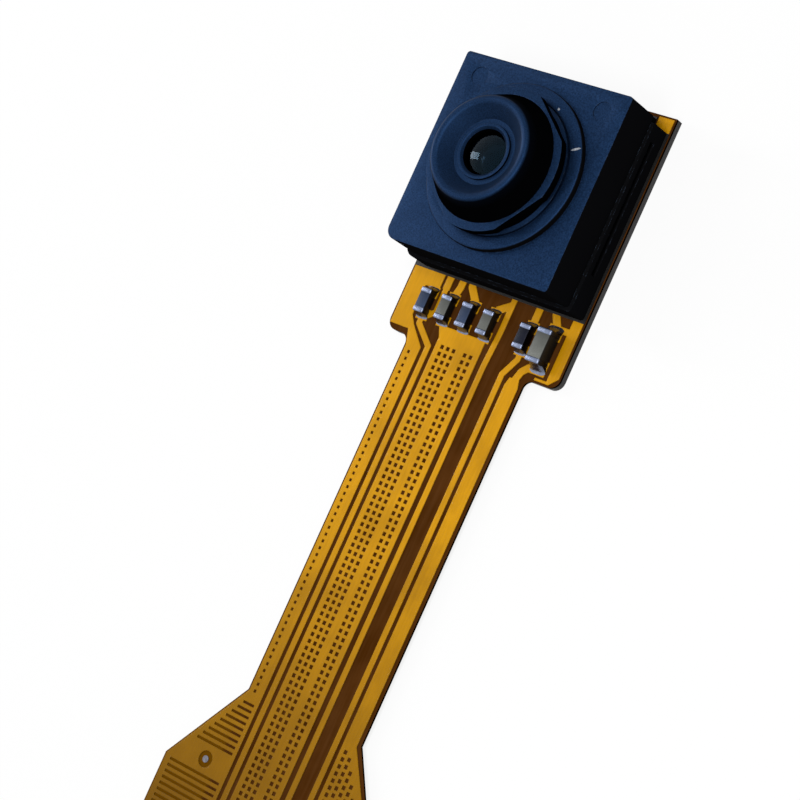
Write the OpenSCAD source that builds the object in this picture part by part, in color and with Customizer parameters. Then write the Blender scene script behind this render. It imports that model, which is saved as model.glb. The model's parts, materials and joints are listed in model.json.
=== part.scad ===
// Miniature camera module: a lens barrel in a square holder, glued to the head of a flexible circuit.
// Units are millimetres. The optical axis is Z, the tail of the circuit runs along -Y, and the origin
// lies on the optical axis at the back face of the head stiffener, on which the module rests.

/* [Film] */
// Thickness of the stiffeners under the head and the tail
stiffener_t = 0.3; // [0.2:0.05:0.6]
// Thickness of the polyimide film
film_t = 0.12; // [0.08:0.01:0.2]
// Film beside the holder's skirt
head_side = 0.15; // [0.1:0.05:1]
// Film above the holder's skirt
head_above = 0.25; // [0.1:0.05:1]
// Film below the holder's skirt
head_below = 3.0; // [2.9:0.05:4]
// Rounding of the head's lower corners
head_corner_r = 0.45; // [0.2:0.05:0.5]
// Rounding where the strip leaves the head
neck_r = 0.4; // [0.2:0.05:0.5]
// Width of the narrow strip
strip_w = 6.3; // [6.2:0.1:6.8]
// Sideways offset of the strip from the optical axis
strip_shift = -0.15; // [-0.25:0.05:0]
// Length of the narrow strip
strip_len = 16.2; // [8:0.1:60]
// Width of the contact tail
tail_w = 11.5; // [11.3:0.1:14]
// Length over which the strip widens into the tail
flare_len = 3.9; // [3:0.1:6]
// Length of the full-width tail
tail_len = 9; // [8:0.1:14]
// Margin of bare film along the edges of the copper
film_margin = 0.08; // [0.05:0.01:0.15]

/* [Copper] */
// Thickness of the copper
copper_t = 0.035; // [0.02:0.005:0.05]
// Bare film from the strip's left edge to the first copper
lane_start = 0.08; // [0.05:0.01:0.15]
// Width of the ground copper along the strip's left edge
edge_ground_w = 0.77; // [0.6:0.01:0.8]
// Width of a signal trace
trace_w = 0.28; // [0.15:0.01:0.3]
// Gap beside the first signal trace
trace_gap = 0.18; // [0.12:0.01:0.2]
// Width of the hatched ground in the middle of the strip
hatch_w = 2.26; // [2.2:0.01:2.3]
// Gap between the hatched ground and the second signal trace
ground_gap = 0.25; // [0.15:0.01:0.3]
// Width of the bare band between the second and third signal traces
bare_band_w = 0.72; // [0.5:0.01:0.75]
// Width of the power trace
power_w = 0.68; // [0.6:0.01:0.7]
// Pitch of the holes in the hatched copper
hatch_pitch = 0.31; // [0.28:0.01:0.5]
// Side of the square holes in the hatched copper
hatch_hole = 0.16; // [0.1:0.01:0.18]
// Distance from the hatched ground's left edge to its first column of holes
hatch_start = 0.36; // [0.3:0.01:0.4]
// Distance between the columns on both sides of the hatched ground's solid band
hatch_band = 0.6; // [0.5:0.01:0.65]
// Side of the holes in the edge ground
edge_hole = 0.12; // [0.08:0.01:0.16]
// Distance from the edge ground's left edge to its column of holes
edge_hole_in = 0.29; // [0.2:0.01:0.35]
// Pitch of the slots across the ground beside the flare and on the tail
slot_pitch = 0.27; // [0.24:0.01:0.35]
// Width of a slot
slot_w = 0.1; // [0.08:0.01:0.14]
// Copper left whole at the outer end of a slot
slot_side = 0.3; // [0.2:0.05:0.5]
// Width of the leads from the components to the holder
lead_w = 0.36; // [0.3:0.01:0.38]
// Number of contact fingers
contacts = 22; // [16:1:22]
// Pitch of the contact fingers
contact_pitch = 0.5; // [0.4:0.01:0.5]
// Width of a contact finger
contact_w = 0.32; // [0.2:0.01:0.34]
// Length of a contact finger
contact_len = 3.5; // [2.5:0.1:4]
// Length of a lead above a contact finger
lead_len = 0.9; // [0.8:0.05:1.5]

// Height of the top row of via pads above the leads
via_step = 0.4; // [0.35:0.01:0.6]
// Diameter of a via pad
via_d = 0.3; // [0.2:0.01:0.34]
// Diameter of the test pad in the flare
test_pad_d = 0.3; // [0.25:0.01:0.5]

/* [Chip components] */
// Distance from the holder's skirt to the middle of the component row
chip_row = 1.45; // [1.42:0.01:1.5]
// Position of the first capacitor, left of the optical axis
chip_start = -3.05; // [-3.1:0.01:-3]
// Spacing of the small capacitors
chip_pitch = 1.12; // [1.11:0.01:1.14]
// Position of the ferrite bead, right of the optical axis
bead_x = 2.25; // [2.2:0.01:2.3]
// Position of the large capacitor, right of the optical axis
bulk_x = 3.38; // [3.35:0.01:3.42]
// How far the large capacitor lies below the row
bulk_drop = 0.15; // [0.1:0.01:0.18]
// Length of a small chip
chip_l = 1.1; // [1:0.05:1.15]
// Width of a small chip
chip_w = 0.5; // [0.4:0.02:0.6]
// Height of a small chip
chip_h = 0.46; // [0.3:0.02:0.6]
// Length of the large capacitor
bulk_l = 1.5; // [1.4:0.05:1.55]
// Width of the large capacitor
bulk_w = 0.66; // [0.6:0.02:0.7]
// Height of the large capacitor
bulk_h = 0.74; // [0.5:0.02:0.9]
// Length of a chip's metal end
end_len = 0.24; // [0.15:0.01:0.3]
// Thickness of a chip's metal end over its body
end_t = 0.02; // [0.01:0.005:0.04]
// Length of a solder fillet beyond a small chip's end
fillet_len = 0.18; // [0.15:0.01:0.22]
// Length of a solder fillet beyond the large capacitor's end
bulk_fillet_len = 0.32; // [0.25:0.01:0.34]
// Share of a chip's height that its solder fillets reach
fillet_share = 0.75; // [0.5:0.05:0.85]
// Height of a solder fillet at its foot
fillet_foot = 0.03; // [0.02:0.01:0.05]
// Bare solder pad beyond the fillet
pad_rim = 0.04; // [0.02:0.01:0.05]
// Bare solder pad beside a chip
pad_side = 0.05; // [0.02:0.01:0.06]

/* [Lens holder] */
// Side of the square holder
holder_w = 8.5; // [8.3:0.05:9.5]
// Height of the holder's front face above its foot
holder_h = 3.04; // [2.9:0.02:4]
// Thickness of the adhesive under the holder
glue_t = 0.06; // [0.05:0.01:0.1]
// How far the adhesive shows beyond the skirt
glue_bead = 0.1; // [0.02:0.01:0.1]
// Height of the thicker skirt at the holder's foot
skirt_h = 1.15; // [1:0.05:1.4]
// How far the skirt stands out from the holder
skirt_out = 0.15; // [0.05:0.01:0.2]
// Rounding of the holder's index corner
index_corner_r = 0.5; // [0.3:0.05:0.8]
// Rounding of the holder's other corners
corner_r = 0.15; // [0.05:0.05:0.3]
// Thickness of the holder's wall round the sensor
holder_wall = 0.75; // [0.6:0.05:0.8]
// Height of the cavity over the sensor
cavity_h = 1.45; // [1.3:0.05:1.5]
// Thickness of the ledge that carries the filter
ledge_t = 0.2; // [0.15:0.01:0.22]
// Diameter of the light opening in the ledge
ledge_d = 4.2; // [3:0.1:4.6]
// Thickness of the collar's wall round the thread
collar_wall = 0.58; // [0.4:0.02:0.8]
// Height of the collar above the holder's front face
collar_h = 0.3; // [0.2:0.02:0.5]
// Length of the groove in the skirt's side
groove_len = 5.9; // [3:0.1:7]
// Height of the groove
groove_h = 0.32; // [0.2:0.02:0.4]
// Depth of the groove
groove_depth = 0.2; // [0.1:0.05:0.3]
// Distance of the groove below the top of the skirt
groove_drop = 0.3; // [0.2:0.02:0.5]
// Distance of the groove's middle above the middle of the skirt's side
groove_shift = 0.3; // [0:0.05:0.4]
// Width of the relief in the upper right corner of the skirt
relief_w = 0.75; // [0.5:0.05:0.8]
// Length of the relief
relief_l = 0.45; // [0.3:0.05:0.6]
// Diameter of the ejector marks on the front face
mark_d = 0.8; // [0.5:0.05:1]
// Depth of the ejector marks
mark_depth = 0.03; // [0.01:0.01:0.06]
// Distance of the ejector marks from the holder's sides
mark_side = 1.1; // [0.9:0.05:1.3]
// Distance of the ejector marks from the holder's upper edge
mark_drop = 0.9; // [0.8:0.05:1.1]

/* [Lens barrel] */
// Diameter of the lens thread
thread_d = 6.0; // [5.4:0.05:6.1]
// Radial clearance of the thread in the holder
thread_gap = 0.02; // [0.01:0.01:0.05]
// Length of the thread below the flange
thread_len = 1.72; // [1.62:0.02:1.76]
// Gap between the collar and the flange
focus_gap = 0.4; // [0.36:0.02:0.5]
// Diameter of the flange
flange_d = 6.2; // [6.1:0.05:6.6]
// Thickness of the flange
flange_t = 0.4; // [0.3:0.05:0.6]
// Distance from the axis to each wrench flat on the flange
flange_flat = 2.87; // [2.85:0.01:3]
// Direction of the first wrench flat
flat_turn = 51; // [45:1:60]
// Diameter of the nose where it meets the flange
nose_base_d = 5.5; // [5.2:0.05:5.6]
// Diameter of the front rim
rim_d = 4.56; // [4.5:0.02:5]
// Inner diameter of the front rim
rim_inner_d = 3.7; // [3.4:0.02:3.8]
// Height of the nose above the flange
nose_h = 1.2; // [1.1:0.05:1.3]
// Rounding of the front rim
rim_r = 0.12; // [0.05:0.01:0.15]
// Depth of the funnel
funnel_depth = 0.5; // [0.3:0.05:0.55]
// Diameter of the funnel's floor
funnel_floor_d = 2.8; // [2.6:0.05:3]
// Outer diameter of the raised ring round the front lens
eye_ring_d = 2.4; // [2.3:0.02:2.5]
// Height of the raised ring
eye_ring_h = 0.1; // [0.05:0.01:0.15]
// Diameter of the opening over the front lens
eye_d = 1.95; // [1.8:0.01:2]
// Thickness of the barrel's front wall
front_wall_t = 0.4; // [0.35:0.01:0.5]
// Diameter of the barrel's bore
bore_d = 4.2; // [4:0.05:4.4]

/* [Lenses] */
// Radial clearance of a lens in the bore
lens_gap = 0.02; // [0.01:0.01:0.05]
// Edge thickness of the front lens
front_lens_t = 0.55; // [0.45:0.05:0.6]
// Height of the front lens's straight step inside the opening
front_lens_rise = 0.2; // [0.05:0.05:0.2]
// Bulge of the front lens above its step
front_lens_bulge = 0.2; // [0.1:0.01:0.25]
// Thickness of the aperture stop
stop_t = 0.05; // [0.03:0.01:0.1]
// Diameter of the aperture stop's hole
stop_d = 1.2; // [1:0.05:1.6]
// Edge thickness of the middle lens
middle_lens_t = 0.5; // [0.45:0.05:0.6]
// Thickness of the spacer ring
spacer_t = 0.15; // [0.1:0.05:0.2]
// Inner diameter of the spacer ring
spacer_d = 2.6; // [2:0.1:3]
// Edge thickness of the rear lens
rear_lens_t = 0.6; // [0.5:0.05:0.65]
// Thickness of the retaining ring
retainer_t = 0.3; // [0.25:0.01:0.35]
// Inner diameter of the retaining ring
retainer_d = 3.0; // [2.6:0.1:3.2]
// Depth of the hollows in the middle and rear lenses
hollow_depth = 0.12; // [0.05:0.01:0.15]

/* [Sensor] */
// Side of the infrared filter
filter_w = 5.0; // [4.8:0.1:5.5]
// Thickness of the infrared filter
filter_t = 0.3; // [0.28:0.01:0.32]
// Clearance round the infrared filter
filter_gap = 0.05; // [0.02:0.01:0.1]
// Width of the sensor package
sensor_w = 5.7; // [5:0.1:6]
// Length of the sensor package
sensor_l = 6.2; // [5.5:0.1:6.4]
// Thickness of the sensor die
die_t = 0.2; // [0.15:0.05:0.3]
// Height of the wall between the die and its cover glass
dam_t = 0.06; // [0.04:0.01:0.1]
// Width of the wall between the die and its cover glass
dam_w = 0.4; // [0.3:0.05:0.6]
// Thickness of the cover glass
cover_glass_t = 0.4; // [0.3:0.05:0.45]
// Diameter of a solder ball
ball_d = 0.3; // [0.25:0.01:0.35]
// Height of a soldered ball
ball_h = 0.18; // [0.15:0.01:0.22]
// Pitch of the solder balls
ball_pitch = 0.8; // [0.65:0.05:0.85]
// Number of solder balls along a side
balls_per_side = 7; // [4:1:7]

/* [Hidden] */
$fn = 96;
eps = 0.01;

// Heights
film_z = stiffener_t;
copper_z = film_z + film_t;
chip_z = copper_z + copper_t;
foot_z = copper_z + glue_t;
face_z = foot_z + holder_h;
collar_z = face_z + collar_h;
flange_z = collar_z + focus_gap;
flange_top_z = flange_z + flange_t;
rim_z = flange_top_z + nose_h;
funnel_z = rim_z - funnel_depth;
eye_z = funnel_z - front_wall_t;
barrel_z = flange_z - thread_len;
filter_z = foot_z + cavity_h;
ledge_z = filter_z + filter_t;
thread_z = ledge_z + ledge_t;
die_z = copper_z + ball_h;
dam_z = die_z + die_t;
glass_z = dam_z + dam_t;
stop_z = eye_z - front_lens_t - stop_t;
middle_z = stop_z - middle_lens_t;
spacer_z = middle_z - spacer_t;
rear_z = spacer_z - rear_lens_t;
retainer_z = rear_z - retainer_t;

// Widths and places on the film
skirt_w = holder_w + 2 * skirt_out;
cavity_w = holder_w - 2 * holder_wall;
collar_d = thread_d + 2 * (thread_gap + collar_wall);
lens_d = bore_d - 2 * lens_gap;
skirt_y = -skirt_w / 2;
head_x = skirt_w / 2 + head_side;
head_top = skirt_w / 2 + head_above;
head_y = skirt_y - head_below;
strip_left = strip_shift - strip_w / 2;
strip_right = strip_shift + strip_w / 2;
tail_left = strip_shift - tail_w / 2;
tail_right = strip_shift + tail_w / 2;
flare_y = head_y - strip_len;
tail_y = flare_y - flare_len;
end_y = tail_y - tail_len;

// Left and right edges of each run of copper along the strip
edge_x = [strip_left + lane_start, strip_left + lane_start + edge_ground_w];
first_x = [edge_x[1] + trace_gap, edge_x[1] + trace_gap + trace_w];
hatch_x = [first_x[1] + trace_gap, first_x[1] + trace_gap + hatch_w];
second_x = [hatch_x[1] + ground_gap, hatch_x[1] + ground_gap + trace_w];
third_x = [second_x[1] + bare_band_w, second_x[1] + bare_band_w + trace_w];
power_x = [third_x[1] + trace_gap, third_x[1] + trace_gap + power_w];

// Chip components: [x, y, length, width, height, length of a fillet]
chip_y = skirt_y - chip_row;
chips = [
    for (i = [0 : 3]) [chip_start + i * chip_pitch, chip_y, chip_l, chip_w, chip_h, fillet_len],
    [bead_x, chip_y, chip_l, chip_w, chip_h, fillet_len],
    [bulk_x, chip_y - bulk_drop, bulk_l, bulk_w, bulk_h, bulk_fillet_len],
];
// Solder pad under a chip
pad_in = end_len + 0.06;
// How far a trace runs into a pad
joint = 0.1;

// Copper on the head: where it ends under the holder, and its left and right limits
under_y = skirt_y + 0.3;
copper_left = film_margin - head_x;
copper_right = head_x - film_margin;
// Middle of the traces that pass between the first two capacitors and beside the fourth one
first_pass_x = (chips[0][0] + chips[1][0]) / 2;
second_pass_x = (chips[3][0] + chips[4][0]) / 2 - 0.35;
hatch_top_y = head_y + 0.35;
neck_y = head_y - 0.15;

// Contacts and the pads round them
lane_end_y = end_y + contact_len + lead_len;
copper_end_y = lane_end_y + 2 * via_step;
contact_x0 = strip_shift - (contacts - 1) * contact_pitch / 2;
test_pad_gap = 0.2;
test_pad_x = edge_x[0] - 0.6;
test_pad_y = tail_y + 0.5;

// ---------- film and stiffeners ----------

// Outline of the head, with round lower corners
module head_outline() {
    translate([-head_x, head_y + head_corner_r]) square([2 * head_x, head_top - head_y - head_corner_r]);
    translate([head_corner_r - head_x, head_y]) square([2 * (head_x - head_corner_r), 2 * head_corner_r]);
    for (x = [head_corner_r - head_x, head_x - head_corner_r])
        translate([x, head_y + head_corner_r]) circle(r = head_corner_r);
}

// Fillet in the corner where the strip leaves the head; side is -1 at the left and 1 at the right
module neck_fillet(x, side) {
    translate([x, head_y]) difference() {
        translate([min(side, 0) * neck_r, -neck_r]) square([neck_r, neck_r + eps]);
        translate([side * neck_r, -neck_r]) circle(r = neck_r);
    }
}

module head_stiffener() {
    color("#202022") linear_extrude(stiffener_t) head_outline();
}

module tail_stiffener() {
    color("#202022") translate([tail_left, end_y, 0]) cube([tail_w, tail_len, stiffener_t]);
}

module polyimide_film() {
    color("#8a5a14") translate([0, 0, film_z]) linear_extrude(film_t) {
        head_outline();
        polygon([
            [strip_left, head_y + eps], [strip_left, flare_y], [tail_left, tail_y], [tail_left, end_y],
            [tail_right, end_y], [tail_right, tail_y], [strip_right, flare_y], [strip_right, head_y + eps],
        ]);
        neck_fillet(strip_left, -1);
        neck_fillet(strip_right, 1);
    }
}

// ---------- copper ----------

// Flat piece of copper on the film
module foil() {
    color("goldenrod") translate([0, 0, copper_z]) linear_extrude(copper_t) children();
}

// Trace of constant width through a list of points, with round bends
module trace(points, w = trace_w) {
    for (i = [0 : len(points) - 2]) {
        d = points[i + 1] - points[i];
        translate(points[i]) rotate(atan2(d[1], d[0])) translate([0, -w / 2]) square([norm(d), w]);
        if (i > 0) translate(points[i]) circle(d = w);
    }
}

// Solder pad at one end of a chip; side is -1 at its lower end and 1 at its upper end
module pad(chip, side) {
    pad_out = chip[5] + pad_rim;
    translate([chip[0], chip[1] + side * (chip[2] / 2 + (pad_out - pad_in) / 2)])
        square([chip[3] + 2 * pad_side, pad_in + pad_out], center = true);
}

function middle(run) = (run[0] + run[1]) / 2;
// Place of a pad's outer edge along the strip
function pad_end(chip, side) = chip[1] + side * (chip[2] / 2 + chip[5] + pad_rim);
// How far the film has widened on each side at a height y
function widening(y) = max(0, min(1, (flare_y - y) / flare_len)) * (tail_w - strip_w) / 2;
function contact_x(i) = contact_x0 + i * contact_pitch;
// Number of the contact nearest to a place x
function contact_at(x) = max(0, min(contacts - 1, round((x - contact_x0) / contact_pitch)));

// Square holes of the hatched copper in one column, from the top down
module hole_column(x, top, bottom, side = hatch_hole) {
    for (i = [0 : floor((top - bottom - side) / hatch_pitch)])
        translate([x - side / 2, top - side - i * hatch_pitch]) square(side);
}

// Ground along the strip's left edge, with slots across it beside the flare and on the tail
module edge_ground_copper() {
    left = tail_left + film_margin;
    chip = chips[0];
    // Clear of the first capacitor and of its trace, and joined to its upper pad
    clear_x = chip[0] - chip[3] / 2 - 0.24;
    bend_y = pad_end(chip, -1);
    join_y = pad_end(chip, 1) - joint;
    foil() {
        difference() {
            polygon([
                [copper_left, under_y], [copper_left, head_y + 0.25], [strip_left - 0.15, head_y + 0.25],
                [edge_x[0], head_y - neck_r], [edge_x[0], flare_y], [left, tail_y], [left, copper_end_y],
                [edge_x[1], copper_end_y], [edge_x[1], neck_y - 0.15], [clear_x + 0.3, bend_y - 0.3],
                [clear_x, bend_y + joint], [clear_x, join_y], [chip[0] + chip[3] / 2, join_y],
                [chip[0] + chip[3] / 2, under_y],
            ]);
            hole_column(edge_x[0] + edge_hole_in, head_y - 0.6, flare_y - 0.3, edge_hole);
            for (y = [flare_y - 0.6 : -slot_pitch : copper_end_y + slot_w]) slot(y);
            translate([test_pad_x, test_pad_y]) circle(d = test_pad_d + 2 * test_pad_gap);
        }
        pad(chip, 1);
    }
}

// Slot across the edge ground, clear of the test pad
module slot(y) {
    left = edge_x[0] - widening(y + slot_w) + slot_side;
    if (abs(y + slot_w / 2 - test_pad_y) > test_pad_d / 2 + test_pad_gap + slot_w)
        translate([left, y]) square([edge_x[1] - 0.2 - left, slot_w]);
}

module test_pad() {
    color("silver") translate([test_pad_x, test_pad_y, copper_z]) cylinder(d = test_pad_d, h = copper_t);
}

// Three signal traces, each from a component down to its contact, two of them passing on to the holder
module signal_traces() {
    first_end = pad_end(chips[0], -1) + joint;
    join_y = pad_end(chips[3], 1);
    foil() {
        for (run = [[chips[0], first_x], [chips[4], third_x]]) {
            pad(run[0], -1);
            lane_trace([run[0][0], pad_end(run[0], -1) + joint], middle(run[1]));
        }
        trace([[chips[0][0], first_end], [first_pass_x, first_end + 0.4], [first_pass_x, join_y]]);
        trace([[first_pass_x, join_y], [first_pass_x, under_y]], lead_w);
        lane_trace([second_pass_x, chip_y + joint], middle(second_x));
        trace([[second_pass_x, chip_y + joint], [second_pass_x, under_y]]);
        pad(chips[3], 1);
        trace([[chips[3][0], join_y - joint], [second_pass_x, join_y + 0.3]], lead_w);
    }
}

// Trace from a point under the components into a lane at x, and down it to the nearest contact
module lane_trace(from, x) {
    to = contact_x(contact_at(x));
    bend_y = lane_end_y + via_step;
    trace([
        from, from - [0, 0.25], [x, neck_y], [x, bend_y + abs(to - x)], [to, bend_y],
        [to, end_y + contact_len],
    ]);
    translate(from) circle(d = trace_w);
}

// Hatched ground in the middle of the strip, fed by three capacitors
module hatched_ground_copper() {
    x = hatch_x[0];
    top = hatch_top_y - 0.25;
    feed_y = pad_end(chips[1], -1) + joint;
    right_start = hatch_start + 2 * hatch_pitch + hatch_band;
    foil() difference() {
        union() {
            polygon([
                [x, copper_end_y], [x + hatch_w, copper_end_y], [x + hatch_w, hatch_top_y],
                [chips[3][0] + trace_w / 2, feed_y], [chips[1][0] - trace_w / 2, feed_y],
                [x, hatch_top_y],
            ]);
            for (i = [1 : 3]) pad(chips[i], -1);
        }
        for (i = [0 : 2]) hole_column(x + hatch_start + i * hatch_pitch, top, copper_end_y + hatch_hole);
        for (i = [0 : 1]) hole_column(x + right_start + i * hatch_pitch, top, copper_end_y + hatch_hole);
    }
}

// Power copper on the strip's right edge, widening into hatched copper beside the flare
module power_copper() {
    x = power_x[0];
    right = tail_right - film_margin;
    lane = middle(power_x);
    feed_w = trace_w + 0.06;
    feed_y = pad_end(chips[5], -1) + feed_w / 2;
    slope = flare_len / widening(tail_y);
    foil() {
        difference() {
            polygon([
                [x + 0.1, neck_y], [x, neck_y - 0.35], [x, copper_end_y], [right, copper_end_y],
                [right, tail_y], [power_x[1], flare_y - 0.1], [power_x[1], neck_y - 0.35],
                [power_x[1] - 0.1, neck_y],
            ]);
            for (column = [x + edge_hole_in : hatch_pitch : right - hatch_hole]) {
                start = flare_y - 0.4 - max(0, column + hatch_hole + 0.06 - power_x[1]) * slope;
                hole_column(column, start, copper_end_y + hatch_hole);
            }
        }
        pad(chips[5], -1);
        trace([
            [bulk_x, feed_y], [lane + 0.41, feed_y], [lane + 0.16, feed_y - 0.25], [lane, neck_y - 0.15],
        ], feed_w);
    }
}

// Upper pads with their leads, the ground at the right margin, and the copper under the relief
module head_leads() {
    margin_x = bulk_x + bulk_w / 2 + 0.25;
    bulk_end = pad_end(chips[5], 1);
    foil() {
        for (i = [1, 2, 4, 5]) pad(chips[i], 1);
        for (lead = [[1, 0.1], [2, -0.5], [4, 0], [5, -0.3]]) {
            start = [chips[lead[0]][0], pad_end(chips[lead[0]], 1) - joint];
            rise = 0.35 + abs(lead[1]) / 2;
            trace([start, start + [lead[1], rise], [start[0] + lead[1], under_y]], lead_w);
        }
        polygon([
            [margin_x, under_y], [margin_x, head_y + 0.2], [bulk_x, head_y + 0.2],
            [bulk_x, head_y + film_margin], [head_x - head_corner_r, head_y + film_margin],
            [copper_right, head_y + head_corner_r], [copper_right, under_y],
        ]);
        translate([bulk_x, bulk_end - pad_in]) square([margin_x + eps - bulk_x, pad_in]);
        translate([copper_right - relief_w, skirt_w / 2 - relief_l])
            square([relief_w, relief_l + head_above - film_margin]);
    }
}

// Gold contact fingers at the end of the tail
module contact_fingers() {
    color("gold") translate([0, 0, copper_z]) linear_extrude(copper_t)
        for (i = [0 : contacts - 1])
            translate([contact_x(i) - contact_w / 2, end_y]) square([contact_w, contact_len]);
}

// Staggered via pads over the contacts that no trace reaches
module via_pads() {
    taken = [for (run = [first_x, second_x, third_x]) contact_at(middle(run))];
    foil() for (i = [0 : contacts - 1])
        if (len(search(i, taken)) == 0) {
            y = lane_end_y + (i % 2 - 1) * via_step;
            translate([contact_x(i), y]) circle(d = via_d);
            trace([[contact_x(i), y], [contact_x(i), end_y + contact_len]], contact_w / 2);
        }
}

// ---------- chip components ----------

module chip_body(chip, tint) {
    color(tint) translate([chip[0], chip[1], chip_z + end_t + chip[4] / 2])
        cube([chip[3], chip[2] - 2 * end_t, chip[4]], center = true);
}

module capacitor_1() { chip_body(chips[0], "#5c6b80"); }
module capacitor_2() { chip_body(chips[1], "#9a9186"); }
module capacitor_3() { chip_body(chips[2], "#5c6b80"); }
module capacitor_4() { chip_body(chips[3], "#9a9186"); }
module ferrite_bead() { chip_body(chips[4], "#1c1f26"); }
module bulk_capacitor() { chip_body(chips[5], "#9a9186"); }

// Tinned caps folded over both ends of every chip
module chip_end_caps() {
    color("silver") for (chip = chips, side = [-1, 1]) {
        w = chip[3] + 2 * end_t;
        h = chip[4] + 2 * end_t;
        translate([chip[0], chip[1] + side * (chip[2] - end_len) / 2, chip_z + h / 2]) difference() {
            cube([w, end_len, h], center = true);
            translate([0, -side * end_t, 0]) cube([chip[3], end_len, chip[4]], center = true);
        }
    }
}

// Hollow solder fillet against each end of every chip
module solder_fillets() {
    color("lightsteelblue") for (chip = chips, side = [0, 1])
        translate([chip[0], chip[1], chip_z]) rotate(180 * side)
            translate([-chip[3] / 2, chip[2] / 2, 0]) rotate([90, 0, 90]) linear_extrude(chip[3])
                fillet_profile(chip[5], fillet_share * chip[4]);
}

// Right triangle with a hollow slope, bent to a radius as long as the slope
module fillet_profile(l, h) {
    centre = [l, h + fillet_foot] / 2 + [h - fillet_foot, l] * sqrt(3) / 2;
    difference() {
        polygon([[0, 0], [l, 0], [l, fillet_foot], [0, h]]);
        translate(centre) circle(r = norm([l, h - fillet_foot]));
    }
}

// ---------- holder and sensor ----------

// Square with its own radius at the lower left corner and one radius at the others
module index_square(w, index_r, r) {
    difference() {
        square(w, center = true);
        for (c = [[1, 1, r], [1, -1, r], [-1, 1, r], [-1, -1, index_r]])
            translate([c[0] * w / 2, c[1] * w / 2]) difference() {
                square(2 * c[2], center = true);
                translate([-c[0] * c[2], -c[1] * c[2]]) circle(r = c[2]);
            }
    }
}

// Adhesive under the holder, moulded round the copper that runs through it
module holder_adhesive() {
    color("#141414") translate([0, 0, copper_z]) difference() {
        linear_extrude(glue_t) difference() {
            square(skirt_w + 2 * glue_bead, center = true);
            square(cavity_w, center = true);
            translate([skirt_w / 2 - relief_w, skirt_w / 2 - relief_l]) square(skirt_w);
        }
        translate([0, 0, -copper_z]) {
            edge_ground_copper();
            signal_traces();
            head_leads();
        }
    }
}

// Square holder with its sensor cavity, filter seat, threaded collar, skirt, side groove and relief
module lens_holder() {
    groove_z = foot_z + skirt_h - groove_drop - groove_h;
    seat_w = filter_w + 2 * filter_gap;
    color("#3d4658") difference() {
        union() {
            translate([0, 0, foot_z]) linear_extrude(holder_h)
                index_square(holder_w, index_corner_r, corner_r);
            translate([0, 0, foot_z]) linear_extrude(skirt_h)
                index_square(skirt_w, index_corner_r, corner_r);
            cylinder(d = collar_d, h = collar_z);
        }
        translate([0, 0, foot_z - skirt_w]) cube(2 * skirt_w, center = true);
        translate([-cavity_w / 2, -cavity_w / 2, foot_z - eps]) cube([cavity_w, cavity_w, cavity_h + eps]);
        translate([-seat_w / 2, -seat_w / 2, filter_z - eps]) cube([seat_w, seat_w, filter_t + eps]);
        cylinder(d = ledge_d, h = collar_z);
        translate([0, 0, thread_z]) cylinder(d = thread_d + 2 * thread_gap, h = collar_z);
        translate([skirt_w / 2 - groove_depth, groove_shift - groove_len / 2, groove_z])
            cube([groove_depth + eps, groove_len, groove_h]);
        translate([skirt_w / 2 - relief_w, skirt_w / 2 - relief_l, foot_z - eps])
            cube([skirt_w, skirt_w, skirt_h + 2 * eps]);
        for (side = [-1, 1])
            translate([side * (holder_w / 2 - mark_side), holder_w / 2 - mark_drop, face_z - mark_depth])
                cylinder(d = mark_d, h = mark_depth + eps);
    }
}

module infrared_filter() {
    color("lightcyan", 0.5) translate([-filter_w / 2, -filter_w / 2, filter_z])
        cube([filter_w, filter_w, filter_t]);
}

// One layer of the sensor package
module sensor_layer(z, t) {
    translate([-sensor_w / 2, -sensor_l / 2, z]) cube([sensor_w, sensor_l, t]);
}

module sensor_solder_balls() {
    last = balls_per_side - 1;
    color("silver") for (i = [0 : last], j = [0 : last])
        if (i == 0 || j == 0 || i == last || j == last)
            translate([(i - last / 2) * ball_pitch, (j - last / 2) * ball_pitch, copper_z])
                cylinder(d = ball_d, h = ball_h);
}

module sensor_die() { color("dimgray") sensor_layer(die_z, die_t); }

module sensor_dam() {
    color("#101010") difference() {
        sensor_layer(dam_z, dam_t);
        translate([dam_w - sensor_w / 2, dam_w - sensor_l / 2, dam_z - eps])
            cube([sensor_w - 2 * dam_w, sensor_l - 2 * dam_w, dam_t + 2 * eps]);
    }
}

module sensor_cover_glass() { color("lightcyan", 0.5) sensor_layer(glass_z, cover_glass_t); }

// ---------- lens barrel and lenses ----------

// Nose with its rounded front rim and the funnel down to the opening over the front lens
module nose_profile() {
    outer = rim_d / 2;
    inner = rim_inner_d / 2;
    eye = eye_d / 2;
    polygon([
        [eye, flange_top_z], [nose_base_d / 2, flange_top_z],
        [outer, rim_z - rim_r], [inner, rim_z - rim_r],
        [funnel_floor_d / 2, funnel_z], [eye_ring_d / 2, funnel_z], [eye_ring_d / 2, funnel_z + eye_ring_h],
        [eye + 0.1, funnel_z + eye_ring_h], [eye, funnel_z],
    ]);
    translate([inner + rim_r, rim_z - 2 * rim_r]) square([outer - inner - 2 * rim_r, 2 * rim_r]);
    for (r = [inner + rim_r, outer - rim_r]) translate([r, rim_z - rim_r]) circle(r = rim_r);
}

// Flange with four flats for the focusing wrench
module flange_outline() {
    difference() {
        circle(d = flange_d);
        for (i = [0 : 3])
            rotate(flat_turn + 90 * i) translate([flange_flat, -flange_d / 2]) square(flange_d);
    }
}

module lens_barrel() {
    color("#39435a") difference() {
        union() {
            rotate_extrude() nose_profile();
            translate([0, 0, flange_z]) linear_extrude(flange_t) flange_outline();
            translate([0, 0, barrel_z]) cylinder(d = thread_d, h = thread_len + eps);
        }
        translate([0, 0, barrel_z - eps]) cylinder(d = bore_d, h = eye_z - barrel_z + eps);
    }
}

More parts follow.
